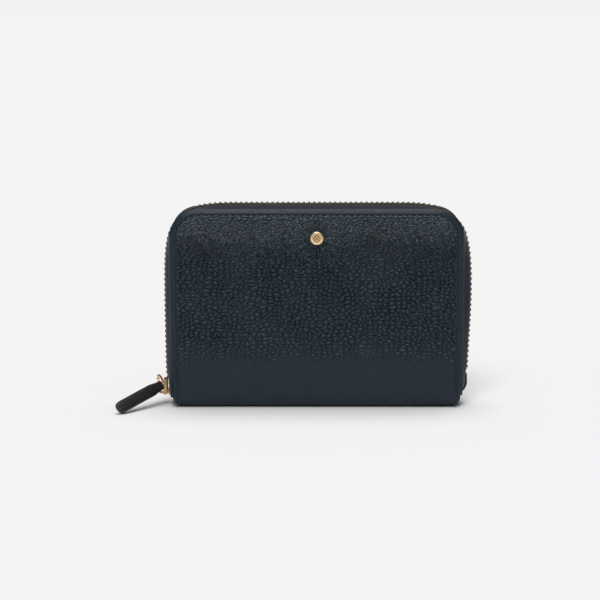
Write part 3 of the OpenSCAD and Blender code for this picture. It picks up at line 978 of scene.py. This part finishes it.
def pull_tab_leather():
    """The leather pull: folded over the ring, creased along its edges, with a rounded tip."""
    hold = np.array(joint("tab_swings")["pos_m"]) / MM
    tip, sides = TAB_LEN - TAB_W / 2, 56
    stations = np.concatenate([-1.25 * np.cos(np.linspace(0, math.pi / 2, 9)),
                               np.linspace(0.3, tip - 0.3, 75),
                               tip + TAB_W / 2 * np.sin(np.linspace(0.05, math.pi / 2, 12))])
    verts = np.array([tab_section(x, sides) for x in stations]).reshape(-1, 3) @ np.array(TAB_TURN).T + hold
    obj = new_object("pull_tab_leather", verts, tube_faces(len(stations), sides), BLACK)
    return place(obj, "pull_tab", "dark_leather", "pull_tab")


def stud_cap():
    """A low domed stud with a plain crosshatch pressed into its head."""
    front, seat = STUD_LO[1], STUD_HI[1]
    rings, sides, hatch_pitch, brim = 72, 180, 1.25, 0.86
    f = np.arange(1, rings + 1)[:, None] / rings
    a = 2 * math.pi * np.arange(sides)[None, :] / sides
    px, pz = STUD_R * f * np.cos(a), STUD_R * f * np.sin(a)
    shoulder = np.sqrt(np.clip(1 - ((f - brim) / (1 - brim)) ** 2, 0, 1))
    dome = (seat - front) * (1 - 0.36 * f ** 2) * np.where(f > brim, shoulder, 1)
    u, v = (px + pz) / hatch_pitch, (px - pz) / hatch_pitch
    line = np.minimum(np.abs(np.sin(math.pi * u)), np.abs(np.sin(math.pi * v)))
    groove = (1 - smooth(0.0, 0.7, line)) * (1 - smooth(0.62, 0.72, f))
    verts = np.stack([STUD[0] + px, seat - dome + 0.2 * groove, STUD[2] + pz], -1).reshape(-1, 3)
    verts = np.vstack([verts, (STUD[0], front + 0.2, STUD[2])])
    centre = rings * sides
    faces = grid_faces(rings, sides, closed=True)
    faces += [(centre, (k + 1) % sides, k) for k in range(sides)]
    faces.append(tuple((rings - 1) * sides + k for k in range(sides)))
    obj = new_object("stud_cap", verts, faces, STUD_GOLD)
    set_painted_light_and_tone(obj, np.append(1 - groove.ravel(), 0.0))
    return place(obj, "front_half", "gold_metal", "stud_head")


# ---- stitching ----
def stitch_mesh():
    """One stitch: a short plump thread with drawn ends."""
    sides, rings, half = 10, 9, 0.98
    wide, thick = 0.21, 0.17
    verts = []
    for t in np.linspace(-1, 1, rings):
        plump = math.sqrt(max(0.02, 1 - abs(t) ** 3))
        for k in range(sides):
            a = 2 * math.pi * k / sides
            depth = thick * (abs(t) ** 2.5 + plump * math.sin(a))
            verts.append((wide * plump * math.cos(a), depth, t * half))
    return np.array(verts), tube_faces(rings, sides)


def stitch_line(name, side, body, node):
    """The line of stitches in the groove round the sides and top of a cover."""
    side_x, top_z = HALF_W - CORNER_R, TOP - CORNER_R
    r = CORNER_R - RIM - STITCH_IN
    route = [(-float(half_width(z)) + STITCH_IN, z, -1, 0) for z in np.linspace(FOLD_R + 2.5, top_z, 60)]
    route += [(-side_x - r * math.cos(a), top_z + r * math.sin(a), -math.cos(a), math.sin(a))
              for a in np.linspace(0, math.pi / 2, 20)[1:]]
    route += [(-x, z, -nx, nz) for x, z, nx, nz in reversed(route)]
    route = np.array(route)
    along = lengths_along(route[:, :2])
    count = int(along[-1] / STITCH_PITCH)
    slant = 0.13
    frames = []
    for i in range(count):
        at = (i + 0.5) * along[-1] / count
        x, z, nx, nz = (np.interp(at, along, route[:, k]) for k in range(4))
        nx, nz = unit(nx, nz)
        out, ahead = np.array((nx, 0, nz)), np.array((nz, 0, -nx))
        y = -float(face_depth(x, z)) + 0.19
        frames.append(((x, y, z), (out * math.cos(slant) - ahead * math.sin(slant), (0, 1, 0),
                                   ahead * math.cos(slant) + out * math.sin(slant))))
    verts, faces = strew(stitch_mesh(), frames)
    return place(new_object(name, verts * (1, -side, 1), faces, THREAD), body, "thread", node)


def end_tab():
    """The zip's tail, tucked in at the lower right: a small leather tongue over the tape's end."""
    _, hi = box_mm("zip_end_tab")
    bends = np.array([(hi[0] + 0.2, hi[2]), (hi[0] + 0.2, hi[2] - 3.9), (hi[0] - 0.8, hi[2] - 5.9),
                      (HALF_W - 1.2, hi[2] - 6.6), (HALF_W - 3.2, hi[2] - 6.9)])
    steps = 8
    path = [a * (1 - k / steps) + b * k / steps for a, b in zip(bends, bends[1:]) for k in range(steps)]
    path = np.array(path + [bends[-1]])
    for _ in range(3):
        path[1:-1] = (path[:-2] + 2 * path[1:-1] + path[2:]) / 4
    tangent = np.gradient(path, axis=0)
    tangent /= np.linalg.norm(tangent, axis=1, keepdims=True)
    sides, half_w, half_t = 28, 2.5, 0.42
    verts = []
    for i, ((x, z), (tx, tz)) in enumerate(zip(path, tangent)):
        rounding = math.sqrt(min(1, (i + 0.6) / 5))
        for k in range(sides):
            a = 2 * math.pi * k / sides
            y, t = half_w * rounding * bulge(math.cos(a), 0.4), half_t * bulge(math.sin(a), 0.5)
            verts.append((x - tz * t, y, z + tx * t))
    obj = new_object("zip_tail_leather", verts, tube_faces(len(path), sides), BLACK)
    return place(obj, "spine", "dark_leather", "zip_end_tab")


# ---- build the object ----
def build_half(label, side, seed, stud):
    body = f"{label}_half"
    with_spine = side < 0      # the front cover's leather and lining stand for the spine's too
    leather = [f"{label}_cover_leather", f"{label}_fold_leather"] + ["spine_leather"] * with_spine
    cover_shell(f"{label}_leather_shell", side, seed, stud, leather)
    ring = outline_ring(BOARD_IN, FOLD_R + 0.9)
    board = slab(f"{label}_stiffener", ring, -BOARD_OUT, -BOARD_OUT + BOARD_T, side, BOARD)
    place(board, body, "board", f"{label}_board")
    foam_pad(f"{label}_padding", side, body, f"{label}_foam")
    lining = [f"{label}_lining", f"{label}_fold_lining"] + ["spine_lining"] * with_spine
    lining_sheet(f"{label}_lining_cloth", side, lining)
    pocket_leaf(f"{label}_slip_leaf", f"{label}_slip_pocket", side, body, LINING, "dark_leather")
    for k in range(1, 5):
        pocket_leaf(f"{label}_card_leaf_{k}", f"{label}_card_slot_{k}", side, body, POCKET, "outer_leather")
    stitch_line(f"{label}_stitches", side, body, f"{label}_stitching")
    zip_tape(f"{label}_tape_cloth", side, body, f"{label}_zip_tape")
    zip_teeth(side, body, label)
    cad_copy(f"{label}_stop_metal", f"{label}_top_stop", TEETH, 0.15, body, "gold_metal", stop_on_tape)


build_half("front", -1, 11, True)
build_half("back", 1, 29, False)
stud_cap()
end_tab()
cad_copy("bottom_stop_metal", "zip_bottom_stop", DARK_METAL, 0.18, "spine", "gold_metal")
cad_copy("slider_body", "zip_slider", BRASS, 0.16, "zip_slider", "gold_metal", slider_taper)
cad_copy("slider_arch", "slider_bridge", BRASS, 0.22, "zip_slider", "gold_metal")
pull_ring_wire()
pull_tab_leather()
for hidden, material in (("spine_board", BOARD), ("stud_post", GOLD), ("stud_washer", GOLD)):
    mesh = frame["nodes"][hidden].data
    mesh.materials.clear()
    mesh.materials.append(material)


# ---- stage, light and camera ----
def stage_floor():
    """A wide pale matt floor."""
    m = Nodes("studio_floor")
    at = scaled_coords(m, (1, 1, 1))
    mottle = m("TexNoise", Vector=(at, "Vector"), Scale=3.0, Detail=2.0)
    tone = m.ramp((mottle, "Fac"), (0.0, (0.80, 0.80, 0.80)), (1.0, (0.81, 0.81, 0.81)))
    material = m.finish(Base_Color=(tone, "Color"), Roughness=1.0, Specular_IOR_Level=0.0)
    size = 30000
    corners = [(-size, -size, 0), (size, -size, 0), (size, size, 0), (-size, size, 0)]
    new_object("studio_floor", corners, [(0, 1, 2, 3)], material)


def studio_light():
    """Two large soft lamps, overhead and in front, in a dim even room. The camera sees a pale backdrop."""
    scene = bpy.context.scene
    scene.world = bpy.data.worlds.new("studio")
    scene.world.use_nodes = True
    tree = scene.world.node_tree
    room = tree.nodes["Background"]
    room.inputs["Color"].default_value = (1, 1, 1, 1)
    room.inputs["Strength"].default_value = 0.16
    seen = tree.nodes.new("ShaderNodeBackground")
    seen.inputs["Color"].default_value = (BACKDROP, BACKDROP, BACKDROP, 1)
    path = tree.nodes.new("ShaderNodeLightPath")
    mix = tree.nodes.new("ShaderNodeMixShader")
    tree.links.new(path.outputs["Is Camera Ray"], mix.inputs[0])
    tree.links.new(room.outputs[0], mix.inputs[1])
    tree.links.new(seen.outputs[0], mix.inputs[2])
    tree.links.new(mix.outputs[0], tree.nodes["World Output"].inputs["Surface"])
    for name, energy, width, tip, lean in (("overhead", 1.9, 40, -7, 4), ("front_top", 1.5, 26, 40, -8)):
        key = bpy.data.lights.new(name, "SUN")
        key.energy = energy
        key.angle = math.radians(width)
        lamp = bpy.data.objects.new(name, key)
        lamp.rotation_euler = (math.radians(tip), math.radians(lean), 0)
        scene.collection.objects.link(lamp)
    scene.view_settings.view_transform = "Standard"
    scene.view_settings.look = "None"


def studio_camera():
    """A long lens a little above the object's middle, which it looks at from the front."""
    target = Vector((-6.2, 0, 39.35)) * MM
    elevation, distance = math.radians(8.3), 0.75
    data = bpy.data.cameras.new("camera")
    data.lens = 120
    data.sensor_width = 36
    data.clip_start, data.clip_end = 0.01, 100
    camera = bpy.data.objects.new("camera", data)
    back = Vector((0, -math.cos(elevation), math.sin(elevation)))
    camera.location = target + back * distance
    camera.rotation_euler = (-back).to_track_quat("-Z", "Y").to_euler()
    bpy.context.scene.collection.objects.link(camera)
    bpy.context.scene.camera = camera


stage_floor()
studio_light()
studio_camera()
